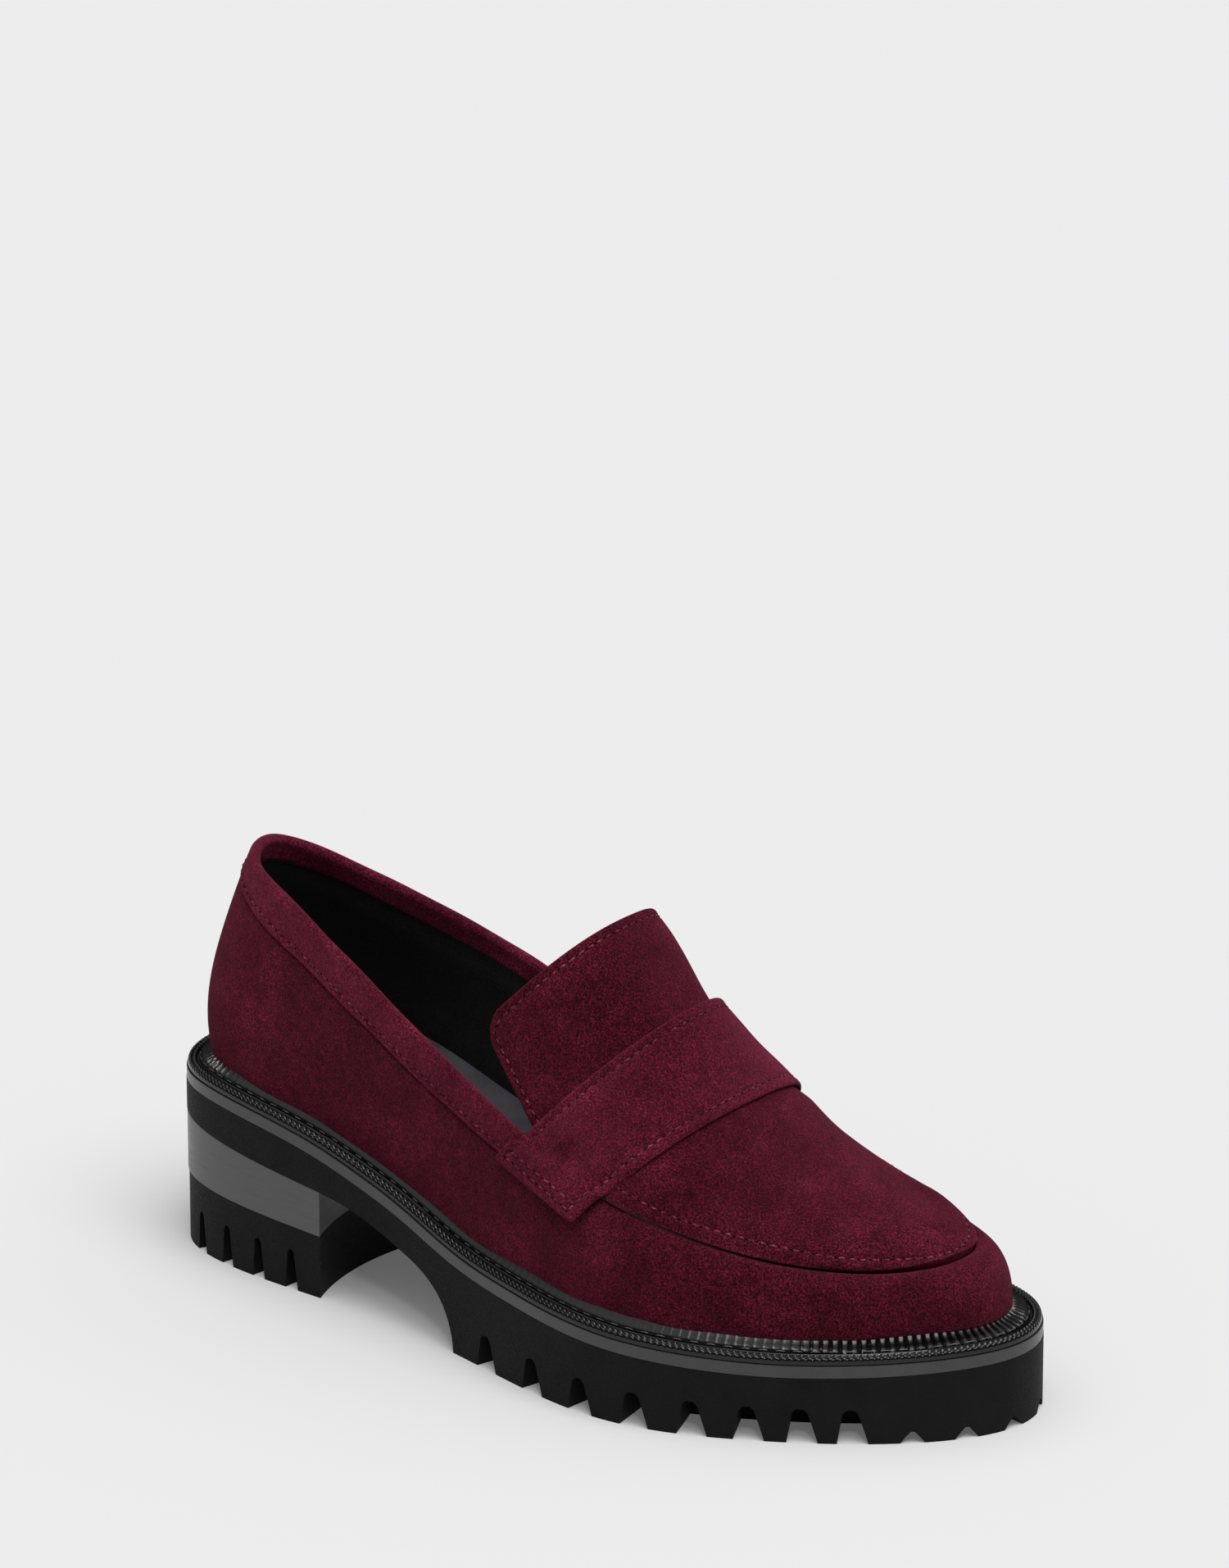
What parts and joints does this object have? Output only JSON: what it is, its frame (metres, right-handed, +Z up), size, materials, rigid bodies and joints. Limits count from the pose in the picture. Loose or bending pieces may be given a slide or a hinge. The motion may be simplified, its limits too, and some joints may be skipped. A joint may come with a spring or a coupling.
{
  "type": "lug sole loafer",
  "caption": "Right-foot suede slip-on loafer with a raised apron, a plain saddle strap, a free tongue, a welted lug sole and a stacked block heel.",
  "frame": {"origin": "on the ground under the middle of the outsole's box, with the tread resting on z = 0", "axes": "+X from heel to toe, +Y towards the inner (medial) side of a right foot, +Z up"},
  "size_m": [0.268, 0.1014, 0.1183],
  "materials": {
    "suede": "burgundy suede with a short nap",
    "lining_leather": "smooth black lining leather",
    "sock_leather": "smooth charcoal leather",
    "foam": "soft open foam",
    "board": "pressed fibre board",
    "cork": "granulated cork",
    "steel": "plain spring steel",
    "stiffener": "stiffened fibre sheet",
    "midsole_leather": "smooth semi-gloss grey edge",
    "welt_leather": "glossy black welting",
    "stacked_leather": "glossy dark grey stacked leather",
    "rubber": "matte black rubber"
  },
  "bodies": {
    "shoe": {"heel_top_piece": "rubber", "outsole": "rubber", "midsole": "midsole_leather", "cork_filler": "cork", "insole_board": "board", "heel_lift_1": "stacked_leather", "heel_lift_2": "stacked_leather", "heel_lift_3": "stacked_leather", "shank": "steel", "welt": "welt_leather", "storm_rib": "welt_leather", "footbed_foam": "foam", "sock_liner": "sock_leather", "heel_nails": "steel", "vamp_quarters": "suede", "apron": "suede", "vamp_lining": "lining_leather", "quarter_lining": "lining_leather", "heel_counter": "stiffener", "toe_puff": "stiffener", "collar_binding": "suede", "collar_padding": "foam", "strap": "suede", "strap_backing": "lining_leather"},
    "tongue": {"tongue": "suede", "tongue_lining": "lining_leather"}
  },
  "joints": [
    {"name": "tongue_hinge", "type": "hinge", "parent": "shoe", "child": "tongue", "pos_m": [0.0323, 0.0052, 0.094], "axis": [0, 1, 0], "range_deg": [0, 25], "stiffness_Nm_per_rad": 0.05}
  ]
}
